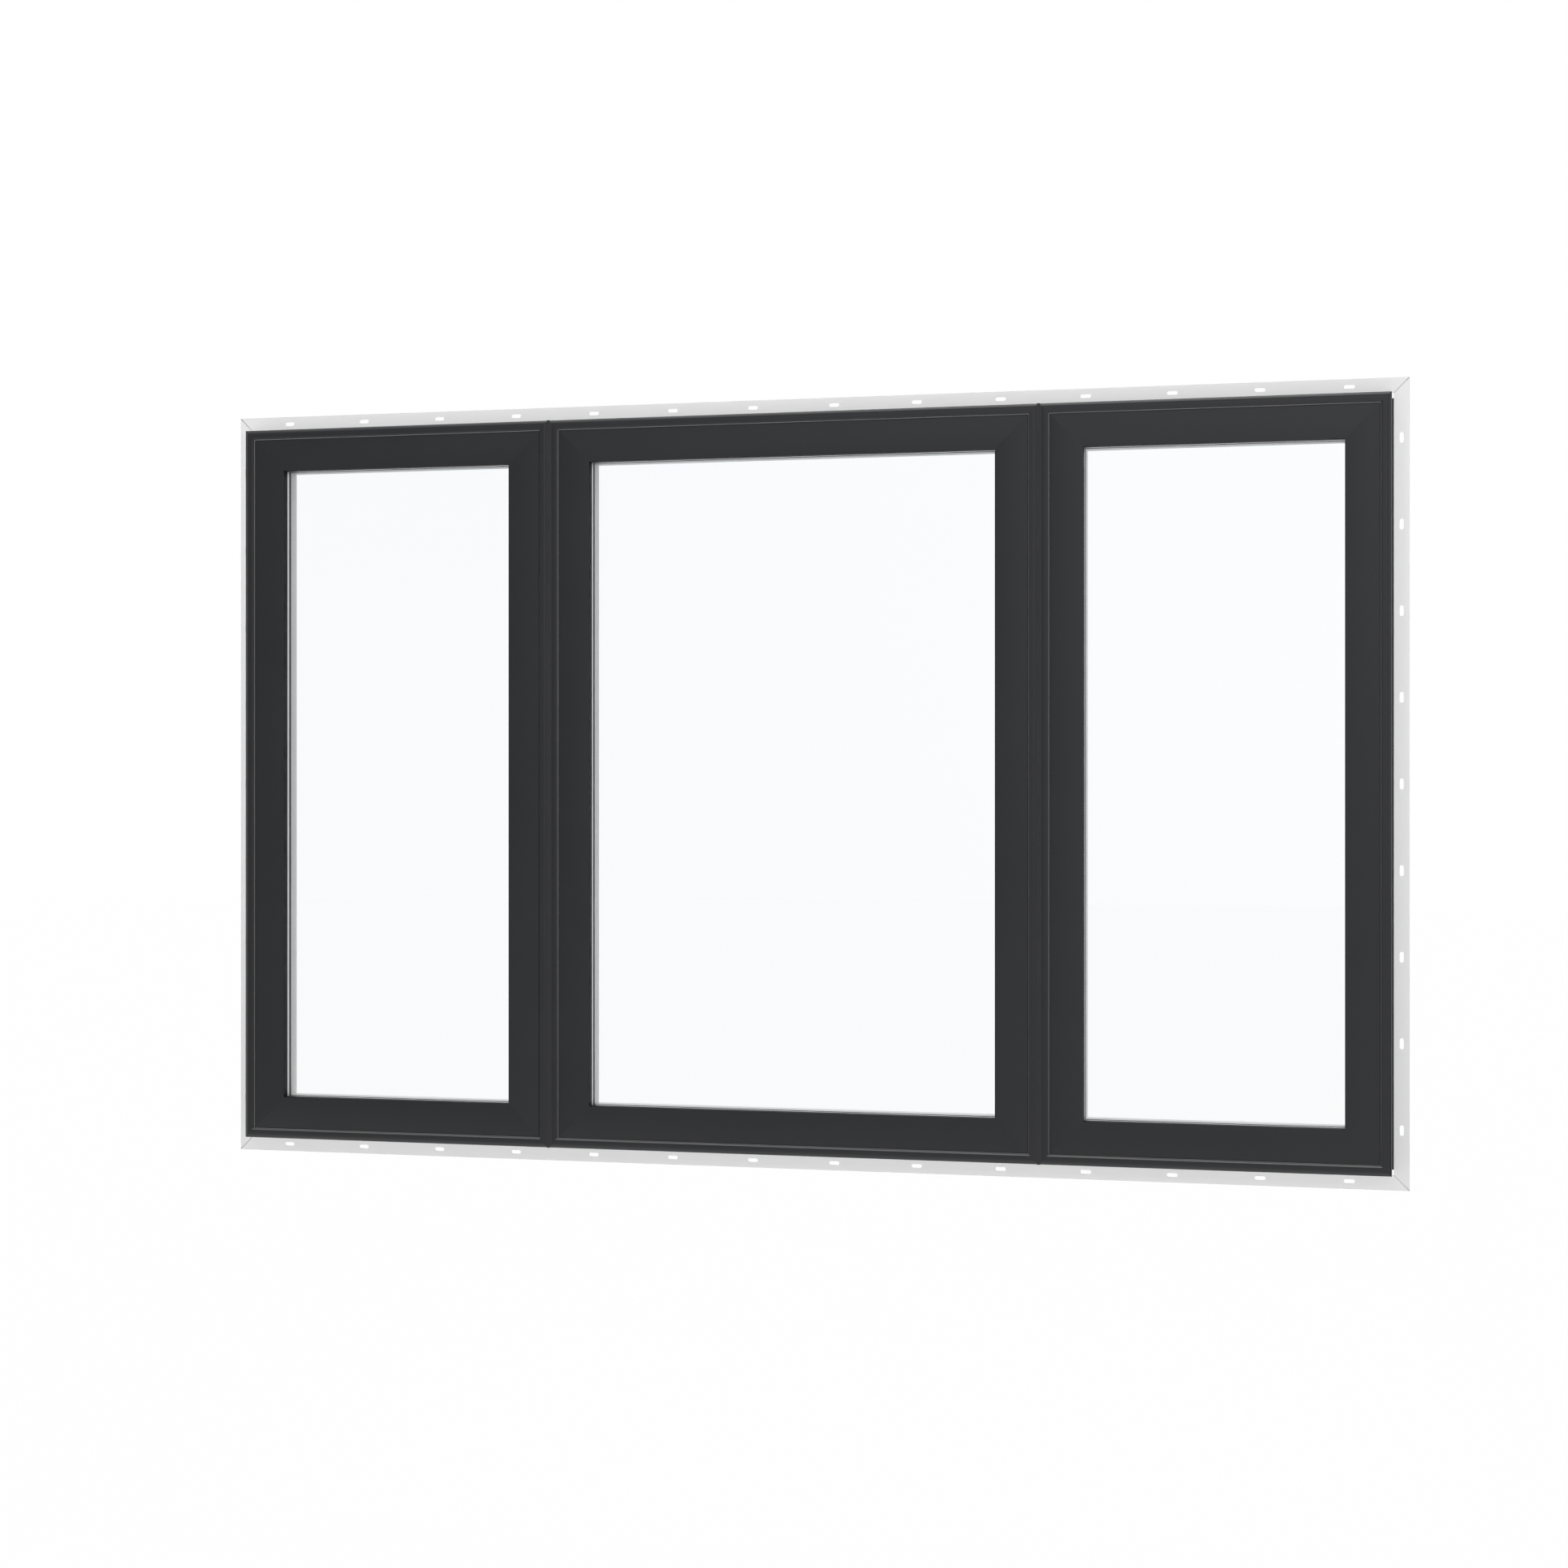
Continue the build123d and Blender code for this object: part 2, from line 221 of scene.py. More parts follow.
def bar_paint(name, is_frame):
    """Charcoal paint outdoors and white on the room side of the fin, with a fine sprayed texture.

    On the frame the charcoal stops a little way into the gap beside the sash, where the bare grey bar shows,
    and a pale band on the sill's small bevel is dust together with a painted highlight from above.
    On the sash the paint in front of the glass is dull."""
    f = Finish(bpy.data.materials.new(name))
    at = f.place()
    across, depth, up = f.axes(at)
    room_side = f.between(depth, FIN_FRONT_Y, FIN_FRONT_Y + 0.0006)
    cloud = f.grain(at, 9.0, 3.0)
    spray = f.grain(at, 700.0, 2.0)
    charcoal = f.mixed(cloud, rgb(0.0142, 0.0148, 0.0163), rgb(0.0172, 0.0178, 0.0193))
    from_side = abs(abs(across) - UNIT_JOINT_X).smaller(abs(abs(across) - WINDOW_WIDTH / 2))
    inset = from_side.smaller(UNIT_HEIGHT / 2 - abs(up - MIDDLE_Z))
    if is_frame:
        dull = None
        in_gap = f.between(inset, FRAME_FACE - 0.0004, FRAME_FACE - 0.0001)
        bare = in_gap * f.between(depth, PAINT_STOPS_Y - 0.0002, PAINT_STOPS_Y + 0.0002)
        charcoal = f.mixed(bare, charcoal, f.mixed(cloud, rgb(0.16, 0.16, 0.157), rgb(0.20, 0.20, 0.197)))
        on_break = f.between(inset, FRAME_FACE - FRAME_BREAK - 0.0002, FRAME_FACE - FRAME_BREAK + 0.0004)
        # Pale band on the sill's small bevel: dust, and a painted highlight standing in for light from above
        dust_and_highlight = on_break * (1.0 - bare) * (1.0 - f.between(up, SILL_TOP_Z, SILL_TOP_Z + 0.0004))
        charcoal = f.mixed(dust_and_highlight, charcoal, f.mixed(spray, rgb(0.105, 0.105, 0.106), rgb(0.135, 0.135, 0.136)))
    else:
        dull = 0.74 * f.between(inset, SASH_INNER_INSET - 0.0003, SASH_INNER_INSET) * (1.0 - room_side)
    white = f.mixed(cloud, rgb(0.780, 0.780, 0.770), rgb(0.825, 0.825, 0.818))
    rough = 0.31 + 0.05 * cloud + 0.05 * spray
    return f.surface(dull, Base_Color=f.mixed(room_side, charcoal, white), Roughness=rough,
                     Normal=f.bump(spray, 0.10, 0.0002))


def bead_plastic():
    f = Finish(bpy.data.materials.new("white_bead_plastic"))
    at = f.place()
    cloud = f.grain(at, 12.0, 3.0)
    drawn = f.grain(f.stretched(at, (40.0, 1600.0, 40.0)), 1.0, 2.0)
    return f.surface(Base_Color=f.mixed(cloud, rgb(0.77, 0.77, 0.765), rgb(0.82, 0.82, 0.815)),
                     Roughness=0.38 + 0.12 * drawn, Normal=f.bump(drawn, 0.12, 0.0001))


def clear_glass():
    f = Finish(bpy.data.materials.new("clear_pane_glass"))
    at = f.place()
    height = f.axes(at)[2]
    cloud = f.grain(at, 1.7, 2.0)
    # Painted sky reflection: the glass colour turns bluer towards the top
    painted_sky_reflection = f.between(height, 0.1, 1.3)
    tint_and_sky_reflection = f.mixed(painted_sky_reflection, rgb(0.990, 0.992, 0.997), rgb(0.980, 0.990, 1.0))
    return f.surface(Base_Color=tint_and_sky_reflection, Roughness=0.004 * cloud, IOR=1.36, Transmission_Weight=1.0)


def spacer_metal():
    """Rolled aluminium with faint lines along the strip, and black sealant on its sides at the glass."""
    f = Finish(bpy.data.materials.new("rolled_spacer_aluminium"))
    at = f.place()
    from_middle = abs(f.axes(at)[1] - SPACER_MIDDLE_Y)
    sealant = f.between(from_middle, SPACER_DEPTH / 2 - 0.0005, SPACER_DEPTH / 2 - 0.0003)
    rolled = f.grain(f.stretched(at, (6.0, 2400.0, 6.0)), 1.0, 3.0)
    cloud = f.grain(at, 25.0, 2.0)
    metal = f.mixed(cloud, rgb(0.62, 0.62, 0.63), rgb(0.72, 0.72, 0.73))
    return f.surface(Base_Color=f.mixed(sealant, metal, rgb(0.020, 0.020, 0.021)), Metallic=1.0 - sealant,
                     Roughness=0.34 + 0.16 * rolled, Normal=f.bump(rolled, 0.10, 0.00008))


def breather_hole_shade():
    # Dark colour painted as the shade inside each breather hole
    f = Finish(bpy.data.materials.new("breather_hole_painted_shade"))
    cloud = f.grain(f.place(), 900.0, 2.0)
    return f.surface(Base_Color=f.mixed(cloud, rgb(0.05, 0.05, 0.052), rgb(0.10, 0.10, 0.104)),
                     Roughness=0.5 + 0.3 * cloud)


def seal_rubber():
    f = Finish(bpy.data.materials.new("black_seal_rubber"))
    at = f.place()
    pores = f.grain(at, 1400.0, 2.0)
    bloom = f.grain(at, 30.0, 3.0)
    return f.surface(Base_Color=f.mixed(bloom, rgb(0.016, 0.016, 0.018), rgb(0.030, 0.030, 0.032)),
                     Roughness=0.62 + 0.16 * bloom, Normal=f.bump(pores, 0.25, 0.0001))


def gap_rubber():
    f = Finish(bpy.data.materials.new("grey_gap_rubber"))
    at = f.place()
    pores = f.grain(at, 1400.0, 2.0)
    bloom = f.grain(at, 30.0, 3.0)
    return f.surface(Base_Color=f.mixed(bloom, rgb(0.14, 0.14, 0.142), rgb(0.18, 0.18, 0.182)),
                     Roughness=0.66 + 0.16 * bloom, Normal=f.bump(pores, 0.25, 0.0001))


def fin_plastic():
    """Pale grey plastic with faint drawing lines along each strip, and dirt with painted shade in the corner
    joints.
    """
    f = Finish(bpy.data.materials.new("pale_fin_plastic"))
    at = f.place()
    across, _, up = f.axes(at)
    out_of_side = abs(across) - WINDOW_WIDTH / 2
    out_of_end = abs(up - MIDDLE_Z) - UNIT_HEIGHT / 2
    over = out_of_side.larger(out_of_end)
    lines = f.node("ShaderNodeTexNoise", {"noise_dimensions": "1D"},
                   {"W": over, "Scale": 1500.0, "Detail": 3.0})
    cloud = f.grain(at, 16.0, 3.0)
    speck = f.grain(at, 900.0, 2.0)
    tone = f.mixed(0.6 * cloud + 0.4 * lines, rgb(0.700, 0.700, 0.700), rgb(0.745, 0.745, 0.745))
    # Darker line along each corner joint: dirt and painted shade in the crease between the strips
    joint_dirt_and_shade = 1.0 - f.between(abs(out_of_side - out_of_end), 0.0009, 0.0014)
    tone = f.mixed(joint_dirt_and_shade, tone, f.mixed(cloud, rgb(0.50, 0.50, 0.50), rgb(0.56, 0.56, 0.56)))
    return f.surface(Base_Color=tone, Roughness=0.50 + 0.12 * speck, Normal=f.bump(lines + speck, 0.08, 0.0001))


def fitting_paint():
    f = Finish(bpy.data.materials.new("white_fitting_paint"))
    at = f.place()
    cloud = f.grain(at, 40.0, 3.0)
    spray = f.grain(at, 1100.0, 2.0)
    return f.surface(Base_Color=f.mixed(cloud, rgb(0.77, 0.77, 0.76), rgb(0.83, 0.83, 0.82)),
                     Roughness=0.30 + 0.10 * cloud, Normal=f.bump(spray, 0.10, 0.0001))


def screw_steel():
    f = Finish(bpy.data.materials.new("plated_screw_steel"))
    at = f.place()
    turned = f.grain(at, 1800.0, 3.0)
    return f.surface(Base_Color=f.mixed(turned, rgb(0.60, 0.60, 0.61), rgb(0.74, 0.74, 0.75)), Metallic=1.0,
                     Roughness=0.26 + 0.18 * turned)


SASH_PAINT = bar_paint("sash_charcoal_and_white_paint", False)
FRAME_PAINT = bar_paint("frame_charcoal_and_white_paint", True)
BEAD_PLASTIC = bead_plastic()
GLASS = clear_glass()
SPACER_METAL = spacer_metal()
BREATHER_HOLE_SHADE = breather_hole_shade()
SEAL_RUBBER = seal_rubber()
GAP_RUBBER = gap_rubber()
FIN_PLASTIC = fin_plastic()
FITTING_PAINT = fitting_paint()
SCREW_STEEL = screw_steel()


def coat(obj, material):
    obj.data.materials.clear()
    obj.data.materials.append(material)


def new_piece(name, mesh):
    obj = bpy.data.objects.new(name, mesh)
    bpy.context.scene.collection.objects.link(obj)
    return obj


def settle(obj):
    """Makes what the modifiers give the object's own plain mesh."""
    bpy.context.view_layer.update()
    seen = obj.evaluated_get(bpy.context.evaluated_depsgraph_get())
    mesh = bpy.data.meshes.new_from_object(seen)
    obj.modifiers.clear()
    obj.data = mesh
    return obj


def eased_copy(node, name, material, width, segments, share, reshape=None):
    """Copy of a node whose edges are rounded; share(edge) gives how much of the width an edge gets.

    reshape(point) moves the node's points first."""
    shape = bmesh.new()
    shape.from_mesh(frame["nodes"][node].data)
    bmesh.ops.remove_doubles(shape, verts=shape.verts, dist=1e-6)
    if reshape is None:
        bmesh.ops.dissolve_limit(shape, angle_limit=math.radians(0.5), verts=shape.verts, edges=shape.edges)
    else:
        for vert in shape.verts:
            vert.co = reshape(vert.co)
    weights = shape.edges.layers.float.new("bevel_weight_edge")
    for face in shape.faces:
        face.smooth = True
    for edge in shape.edges:
        turn = edge.calc_face_angle(0.0)
        part = share(edge) if turn > SHARP_ANGLE and edge.is_convex else 0.0
        edge[weights] = part
        edge.smooth = part > 0 or turn < SHARP_ANGLE
    mesh = bpy.data.meshes.new(name)
    shape.to_mesh(mesh)
    shape.free()
    obj = new_piece(name, mesh)
    ease = obj.modifiers.new("ease", "BEVEL")
    ease.limit_method = "WEIGHT"
    ease.width = width
    ease.segments = segments
    ease.harden_normals = True
    settle(obj)
    coat(obj, material)
    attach(obj, "root")
    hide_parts(node)
    return obj


def edge_way(edge):
    return (edge.verts[1].co - edge.verts[0].co).normalized()


def bar_share(axis):
    """Long edges of a bar: wide on the frame's outer front bevel, fine elsewhere."""
    def share(edge):
        if abs(edge_way(edge)[axis]) < 0.999:
            return 0.0
        middle_y = (edge.verts[0].co.y + edge.verts[1].co.y) / 2
        at_bevel = abs(middle_y - FRAME_EDGE_Y) < 1e-5 or abs(middle_y - FRAME_FRONT_Y) < 1e-5
        outer = at_bevel and edge.calc_face_angle(0.0) < math.radians(60) and not is_inner_break(edge)
        return 1.0 if outer else FINE_EASE / WIDE_EASE
    return share


def is_inner_break(edge):
    """True beside the small 45 degree bevel on the frame's inner front edge."""
    return abs(edge.calc_face_angle(0.0) - math.radians(45)) < math.radians(2)


for unit in UNITS:
    for bar, axis in (("sill", 0), ("head", 0), ("left_jamb", 2), ("right_jamb", 2)):
        eased_copy(f"{unit}_frame_{bar}", f"{unit}_frame_{bar}_painted", FRAME_PAINT,
                   WIDE_EASE, 3, bar_share(axis))
    for bar, axis in (("bottom_rail", 0), ("top_rail", 0), ("left_stile", 2), ("right_stile", 2)):
        eased_copy(f"{unit}_sash_{bar}", f"{unit}_sash_{bar}_painted", SASH_PAINT,
                   WIDE_EASE, 3, lambda edge, axis=axis: FINE_EASE / WIDE_EASE
                   if abs(edge_way(edge)[axis]) > 0.999 else 0.0)
    eased_copy(f"{unit}_glazing_bead", f"{unit}_glazing_bead_eased", BEAD_PLASTIC,
               BEAD_EASE, 2, lambda edge: 1.0)


def fin_share(edge):
    """The corner joints' sloping edges are eased most, then the long outer edges."""
    way = edge_way(edge)
    if edge.calc_length() < 0.02 or abs(way.y) > 0.01:
        return 0.0
    if abs(abs(way.x) - abs(way.z)) < 0.01:
        return 1.0
    corner = edge.verts[0].co
    outer = max(abs(corner.x) - WINDOW_WIDTH / 2, abs(corner.z - MIDDLE_Z) - UNIT_HEIGHT / 2)
    return FIN_EASE / MITRE_EASE if outer > FIN_OUTER - 1e-4 else 0.0


for side in ("sill", "head", "left", "right"):
    eased_copy(f"{side}_nailing_fin", f"{side}_nailing_fin_eased", FIN_PLASTIC,
               MITRE_EASE, 2, fin_share)


def low_knob(arm_top):
    """The crank's knob folded down on its arm, out of sight from outdoors."""
    def reshape(point):
        return Vector((point.x, point.y, min(point.z, arm_top + (point.z - arm_top) * KNOB_FOLDED / KNOB_RISE)))
    return reshape


def off_arm_top(arm_top):
    """All edges but the rim of the crank's arm, which runs into the side of the knob."""
    def share(edge):
        return 0.0 if all(abs(vert.co.z - arm_top) < 1e-5 for vert in edge.verts) else 1.0
    return share


for unit in ("left", "right"):
    arm_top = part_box(f"{unit}_crank_handle")[1].z - KNOB_RISE
    eased_copy(f"{unit}_crank_operator", f"{unit}_crank_operator_eased", FITTING_PAINT,
               FITTING_EASE, 3, lambda edge: 1.0)
    eased_copy(f"{unit}_crank_handle", f"{unit}_crank_handle_eased", FITTING_PAINT,
               HANDLE_EASE, 2, off_arm_top(arm_top), low_knob(arm_top))
eased_copy("lock_levers", "lock_levers_eased", FITTING_PAINT,
           FITTING_EASE, 3, lambda edge: 1.0)

for unit in UNITS:
    coat(frame["nodes"][f"{unit}_glass_panes"], GLASS)
    coat(frame["nodes"][f"{unit}_glass_spacer"], SPACER_METAL)
coat(frame["nodes"]["glazing_tapes"], SEAL_RUBBER)
coat(frame["nodes"]["unit_joint_strips"], SEAL_RUBBER)


class Shaper:
    """A Geometry Nodes tree being filled, with named inputs for its sizes."""

    def __init__(self, name, sizes):
        self.tree = bpy.data.node_groups.new(name, "GeometryNodeTree")
        face = self.tree.interface
        face.new_socket("Geometry", in_out="INPUT", socket_type="NodeSocketGeometry")
        face.new_socket("Geometry", in_out="OUTPUT", socket_type="NodeSocketGeometry")
        self.ids = {}
        for label, kind in sizes.items():
            self.ids[label] = face.new_socket(label, in_out="INPUT", socket_type=kind).identifier
        self.sizes = self.tree.nodes.new("NodeGroupInput")

    def size(self, label):
        return self.sizes.outputs[label]

    def node(self, kind, settings=None, inputs=None, output=0):
        made = self.tree.nodes.new(kind)
        for name, value in (settings or {}).items():
            setattr(made, name, value)
        for key, value in (inputs or {}).items():
            if isinstance(value, bpy.types.NodeSocket):
                self.tree.links.new(value, made.inputs[key])
            else:
                made.inputs[key].default_value = value
        return made.outputs[output]

    def maths(self, operation, first, second):
        return self.node("ShaderNodeMath", {"operation": operation}, {0: first, 1: second})

    def end(self, geometry, material):
        whole = self.node("GeometryNodeRealizeInstances", None, {"Geometry": geometry})
        coated = self.node("GeometryNodeSetMaterial", None, {"Geometry": whole, "Material": material})
        out = self.tree.nodes.new("NodeGroupOutput")
        self.tree.links.new(coated, out.inputs["Geometry"])

    def make(self, name, mesh, values):
        """A plain mesh object shaped by the tree with these sizes."""
        obj = new_piece(name, mesh)
        shaping = obj.modifiers.new("shape", "NODES")
        shaping.node_group = self.tree
        for label, value in values.items():
            shaping[self.ids[label]] = value
        return settle(obj)


SIZE = "NodeSocketFloat"
PLACE = "NodeSocketVector"
UPRIGHT = (math.pi / 2, 0.0, 0.0)


def breather_rows():
    """Two rows of small breather holes round the inner face of a spacer, drawn as dark discs of painted shade.
    """
    s = Shaper("breather_rows", {"Width": SIZE, "Height": SIZE, "Pitch": SIZE, "Radius": SIZE,
                                 "Apart": SIZE, "Rim": SIZE, "Middle": PLACE})
    loop = s.node("GeometryNodeCurvePrimitiveQuadrilateral", None, {"Width": s.size("Width"),
                                                                    "Height": s.size("Height")})
    dotted = s.node("GeometryNodeCurveToPoints", {"mode": "LENGTH"}, {"Curve": loop, "Length": s.size("Pitch")})
    tangent = dotted.node.outputs["Tangent"]
    inward = s.node("ShaderNodeVectorMath", {"operation": "CROSS_PRODUCT"}, {0: (0.0, 0.0, 1.0), 1: tangent})
    turned = s.node("FunctionNodeAlignRotationToVector", {"axis": "Z"}, {"Vector": inward})
    hole = s.node("GeometryNodeMeshCone", {"fill_type": "NGON"},
                  {"Vertices": 8, "Radius Top": s.maths("MULTIPLY", s.size("Radius"), 0.8),
                   "Radius Bottom": s.size("Radius"), "Depth": s.size("Rim")})
    row = s.node("GeometryNodeInstanceOnPoints", None, {"Points": dotted, "Instance": hole, "Rotation": turned})
    rows = s.tree.nodes.new("GeometryNodeJoinGeometry")
    for side in (-0.5, 0.5):
        step = s.node("ShaderNodeCombineXYZ", None, {"Z": s.maths("MULTIPLY", s.size("Apart"), side)})
        moved = s.node("GeometryNodeTransform", None, {"Geometry": row, "Translation": step})
        s.tree.links.new(moved, rows.inputs[0])
    stood = s.node("GeometryNodeTransform", None, {"Geometry": rows.outputs[0], "Rotation": UPRIGHT,
                                                   "Translation": s.size("Middle")})
    s.end(stood, BREATHER_HOLE_SHADE)
    return s


def screw_heads():
    """A domed screw head with a cross recess at every point of the input."""
    s = Shaper("screw_heads", {"Radius": SIZE})
    radius = s.size("Radius")
    ball = s.node("GeometryNodeMeshUVSphere", None, {"Segments": 24, "Rings": 12, "Radius": radius})
    squash = s.node("GeometryNodeTransform", None, {"Geometry": ball, "Scale": (1.0, 1.0, 0.62)})
    arm = s.maths("MULTIPLY", radius, 1.15)
    thin = s.maths("MULTIPLY", radius, 0.26)
    long_x = s.node("ShaderNodeCombineXYZ", None, {"X": arm, "Y": thin, "Z": s.maths("MULTIPLY", radius, 0.7)})
    long_y = s.node("ShaderNodeCombineXYZ", None, {"X": thin, "Y": arm, "Z": s.maths("MULTIPLY", radius, 0.76)})
    lift = s.node("ShaderNodeCombineXYZ", None, {"Z": s.maths("MULTIPLY", radius, 0.68)})
    head = squash
    for size in (long_x, long_y):
        block = s.node("GeometryNodeMeshCube", None, {"Size": size})
        cutter = s.node("GeometryNodeTransform", None, {"Geometry": block, "Translation": lift})
        cut = s.tree.nodes.new("GeometryNodeMeshBoolean")
        cut.operation = "DIFFERENCE"
        s.tree.links.new(head, cut.inputs["Mesh 1"])
        s.tree.links.new(cutter, cut.inputs["Mesh 2"])
        head = cut.outputs["Mesh"]
    spread = s.node("GeometryNodeInstanceOnPoints", None, {"Points": s.size("Geometry"), "Instance": head})
    s.end(spread, SCREW_STEEL)
    return s


def seal_loops(name, material):
    """The section in the input swept round a rectangle with rounded corners."""
    s = Shaper(name, {"Width": SIZE, "Height": SIZE, "Corner": SIZE, "Middle": PLACE})
    loop = s.node("GeometryNodeCurvePrimitiveQuadrilateral", None, {"Width": s.size("Width"),
                                                                    "Height": s.size("Height")})
    path = s.node("GeometryNodeFilletCurve", {"mode": "POLY"},
                  {"Curve": loop, "Count": 8, "Radius": s.size("Corner")})
    section = s.node("GeometryNodeMeshToCurve", None, {"Mesh": s.size("Geometry")})
    swept = s.node("GeometryNodeCurveToMesh", None, {"Curve": path, "Profile Curve": section})
    stood = s.node("GeometryNodeTransform", None, {"Geometry": swept, "Rotation": UPRIGHT,
                                                   "Translation": s.size("Middle")})
    s.end(stood, material)
    return s


def loop_mesh(name, points):
    mesh = bpy.data.meshes.new(name)
    count = len(points)
    mesh.from_pydata(points, [(i, (i + 1) % count) for i in range(count)], [])
    return mesh


def bulb_section():
    """Round bulb towards the sash on a flat foot, as (across, depth) points about the strip's middle."""
    half_depth = (SEAL_BACK_Y - SEAL_FRONT_Y) / 2
    bulb = 0.0019
    foot_half = 0.0028
    foot_front = half_depth - 0.0009
    points = [(-foot_half, half_depth, 0.0), (-foot_half, foot_front, 0.0)]
    for step in range(13):
        angle = math.radians(-220 + 260 * step / 12)
        points.append((bulb * math.cos(angle), bulb - half_depth + bulb * math.sin(angle), 0.0))
    points += [(foot_half, foot_front, 0.0), (foot_half, half_depth, 0.0)]
    return points


def gap_section():
    """Flat strip with all four edges eased, as (across, depth) points about its middle."""
    across = GAP_SEAL_WIDTH / 2
    depth = GAP_SEAL_DEPTH / 2
    ease = 0.0002
    quarter = [(across, depth - ease), (across - ease, depth)]
    front = quarter + [(-x, y) for x, y in reversed(quarter)]
    return [(x, y, 0.0) for x, y in front + [(-x, -y) for x, y in front]]


def joined(objects, name):
    """One mesh object from several."""
    shape = bmesh.new()
    for obj in objects:
        shape.from_mesh(obj.data)
    materials = [slot.material for slot in objects[0].material_slots]
    for obj in objects:
        bpy.data.objects.remove(obj)
    mesh = bpy.data.meshes.new(name)
    shape.to_mesh(mesh)
    shape.free()
    for material in materials:
        mesh.materials.append(material)
    return new_piece(name, mesh)


HOLES = breather_rows()
for unit, (centre_x, width) in UNITS.items():
    holes = HOLES.make(f"{unit}_spacer_breather_holes", bpy.data.meshes.new(f"{unit}_breather_start"), {
        "Width": width - 2 * SPACER_INNER_INSET - 0.0001,
        "Height": UNIT_HEIGHT - 2 * SPACER_INNER_INSET - 0.0001,
        "Pitch": BREATHER_PITCH,
        "Radius": BREATHER_RADIUS,
        "Apart": BREATHER_ROWS_APART,
        "Rim": BREATHER_RIM,
        "Middle": (centre_x, SPACER_MIDDLE_Y, MIDDLE_Z),
    })
    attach(holes, "root")



def seal_piece(name, shaper, section, inset, corner, middle_y):
    """One loop of seal in every unit, at this inset from the unit's edges."""
    loops = []
    for unit, (centre_x, width) in UNITS.items():
        loops.append(shaper.make(f"{unit}_{name}", loop_mesh(f"{unit}_{name}_section", section), {
            "Width": width - 2 * inset,
            "Height": UNIT_HEIGHT - 2 * inset,
            "Corner": corner,
            "Middle": (centre_x, middle_y, MIDDLE_Z),
        }))
    piece = joined(loops, name)
    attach(piece, "root")
    return piece


strips = seal_piece("bulb_weatherstrips", seal_loops("bulb_loops", SEAL_RUBBER), bulb_section(),
                    SEAL_INSET, SEAL_CORNER, (SEAL_FRONT_Y + SEAL_BACK_Y) / 2)
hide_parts("weatherstrips")
seal_piece("sash_gap_seals", seal_loops("gap_loops", GAP_RUBBER), gap_section(),
           GAP_SEAL_INSET, GAP_SEAL_CORNER, GAP_SEAL_MIDDLE_Y)

SCREWS = screw_heads()
screw_points = []
for unit in ("left", "right"):
    low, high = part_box(f"{unit}_crank_operator")
    middle = (low + high) / 2
    for side in (-1, 1):
        screw_points.append((middle.x + side * SCREW_REACH, middle.y, high.z))
start = bpy.data.meshes.new("screw_places")
start.from_pydata(screw_points, [], [])
screws = SCREWS.make("operator_screws", start, {"Radius": SCREW_RADIUS})
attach(screws, "root")


def far_lamp(name, place, strength, spread, glossy):
    """Distant soft lamp seen in this direction from the window's middle."""
    data = bpy.data.lights.new(name, "SUN")
    data.energy = strength
    data.angle = math.radians(spread)
    lamp = bpy.data.objects.new(name, data)
    bpy.context.scene.collection.objects.link(lamp)
    lamp.location = place
    lamp.rotation_euler = Vector(place).to_track_quat("Z", "Y").to_euler()
    lamp.visible_camera = False
    lamp.visible_transmission = False
    lamp.visible_glossy = glossy
    return lamp


far_lamp("front_light", (1.17, -4.86, 0.05), 2.60, 14, False)
far_lamp("room_light", (0.5, 2.6, 3.4), 0.5, 30, False)
far_lamp("top_light", (0.2, -0.1, 4.8), 0.9, 40, True)


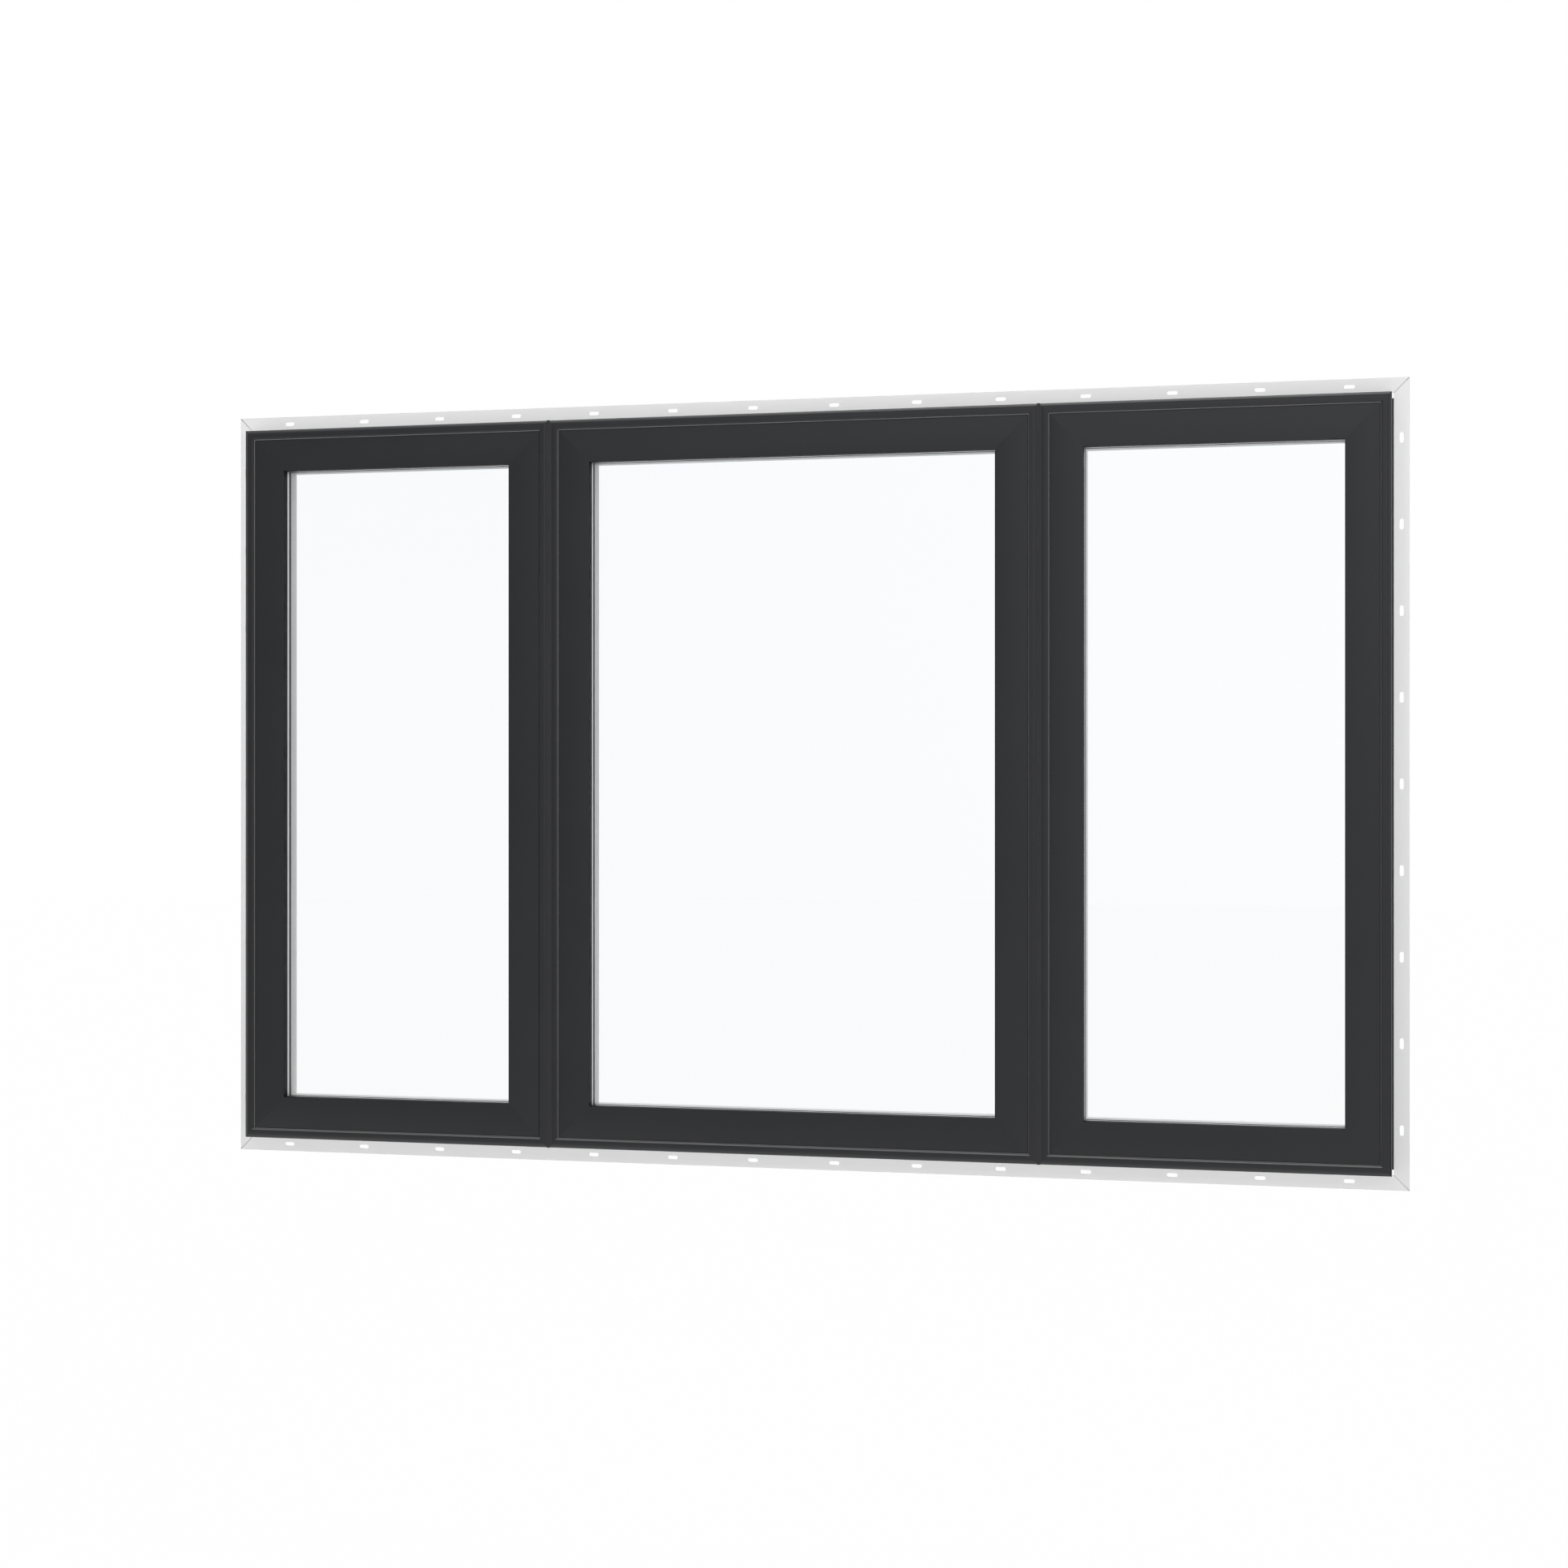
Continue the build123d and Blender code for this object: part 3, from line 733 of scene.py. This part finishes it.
def studio_world():
    """Soft even light; a white backdrop to the camera and in glass, less bright in front for gloss."""
    world = bpy.data.worlds.new("studio")
    bpy.context.scene.world = world
    f = Finish(world)
    toward = f.node("ShaderNodeTexCoord").out("Generated")
    across, depth, up = f.axes(toward)
    ahead = f.between(0.0 - depth, 0.30, 0.88)
    glow = f.between(0.15 * across - 0.95 * depth + 0.28 * up, 0.86, 1.0)
    gloss_level = 1.0 - ahead + ahead * (0.10 + 0.95 * glow)
    ray = f.node("ShaderNodeLightPath")
    glossy = ray.out("Is Glossy Ray")
    seen = ray.out("Is Camera Ray").larger(ray.out("Is Transmission Ray"))
    ambient = f.between(depth, 0.0, 0.5, 0.22, 0.92)
    soft = ambient + glossy * (gloss_level - ambient)
    level = soft + seen * (1.0 - soft)
    sky = f.node("ShaderNodeBackground", None, {"Color": rgb(1.0, 1.0, 1.0), "Strength": level})
    f.node("ShaderNodeOutputWorld", None, {"Surface": sky})


def pale_floor():
    mesh = bpy.data.meshes.new("studio_floor")
    corners = [(-1, -1), (1, -1), (1, 1), (-1, 1)]
    mesh.from_pydata([(x * FLOOR_HALF, y * FLOOR_HALF, FLOOR_Z) for x, y in corners], [], [(0, 1, 2, 3)])
    floor = new_piece("studio_floor", mesh)
    f = Finish(bpy.data.materials.new("pale_floor"))
    ray = f.node("ShaderNodeLightPath")
    depth = f.axes(f.place())[1]
    ahead = f.between(0.0 - depth, 0.5, 5.0)
    in_gloss = ray.out("Is Glossy Ray") * (1.0 - 0.95 * ahead)
    seen = ray.out("Is Camera Ray").larger(in_gloss).larger(ray.out("Is Transmission Ray"))
    tone = f.mixed(ray.out("Is Glossy Ray"), rgb(0.80, 0.80, 0.80), rgb(0.40, 0.40, 0.40))
    matt = f.node("ShaderNodeBsdfDiffuse", None, {"Color": tone})
    white = f.node("ShaderNodeEmission", None, {"Color": rgb(1.0, 1.0, 1.0), "Strength": 1.0})
    both = f.node("ShaderNodeMixShader", None, {0: 0.985 * seen, 1: matt, 2: white})
    f.node("ShaderNodeOutputMaterial", None, {"Surface": both})
    coat(floor, f.owner)


studio_world()
pale_floor()

view = bpy.data.cameras.new("photo_view")
view.lens = CAMERA_LENS
view.sensor_width = 36.0
camera = bpy.data.objects.new("photo_view", view)
bpy.context.scene.collection.objects.link(camera)
camera.location = CAMERA_PLACE
camera.rotation_euler = (math.pi / 2, 0.0, CAMERA_TURN)
bpy.context.scene.camera = camera
bpy.context.scene.view_settings.view_transform = "Standard"
